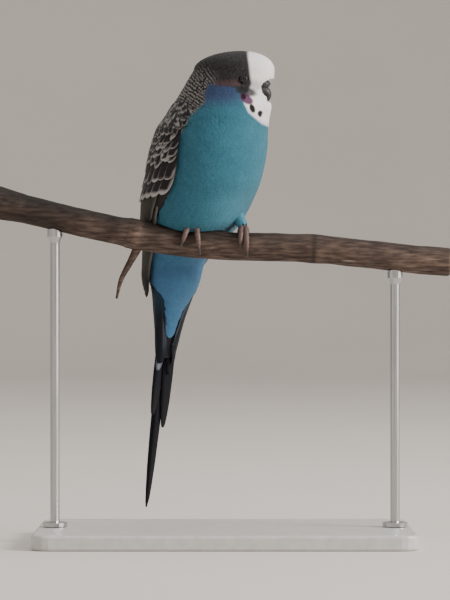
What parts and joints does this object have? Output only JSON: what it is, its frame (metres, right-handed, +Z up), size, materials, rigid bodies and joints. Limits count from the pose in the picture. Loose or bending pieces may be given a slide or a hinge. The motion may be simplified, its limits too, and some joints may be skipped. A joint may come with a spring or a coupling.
{
  "type": "budgerigar on a perch",
  "caption": "Life-size still model of a perched blue budgerigar gripping a cut length of branch, on a plain stand with a flat base and rods.",
  "frame": {"origin": "centre of the underside of the stand's base", "axes": "+Z up; the perch runs along X; the bird's head looks along +X and its chest faces between +X and -Y"},
  "size_m": [0.183, 0.092, 0.1954],
  "materials": {
    "plumage_blue": "soft contour feathers, sky blue with a turquoise cast",
    "plumage_head": "short feathers, white face and a finely barred grey cap",
    "plumage_wing": "firm feathers, near black with pale edges",
    "plumage_tail": "firm feathers, dark blue-black with pale bands",
    "eye": "clear and wet, very dark",
    "cere": "waxy skin, satin",
    "horn": "horn, satin",
    "foot_skin": "scaled skin, matte",
    "bark": "weathered bark, matte",
    "stand_base": "pale lacquered board, satin",
    "stand_rod": "brushed steel, satin"
  },
  "bodies": {
    "root": {"head": "plumage_head", "neck": "plumage_blue", "torso": "plumage_blue", "tail": "plumage_tail", "wing_L": "plumage_wing", "wing_R": "plumage_wing", "eye_L": "eye", "eye_R": "eye", "cere": "cere", "bill_upper": "horn", "bill_lower": "horn", "leg_L": "plumage_blue", "leg_R": "plumage_blue", "foot_L": "foot_skin", "foot_R": "foot_skin", "perch_branch": "bark", "stand_base": "stand_base", "stand_rod_L": "stand_rod", "stand_rod_R": "stand_rod"}
  },
  "joints": []
}
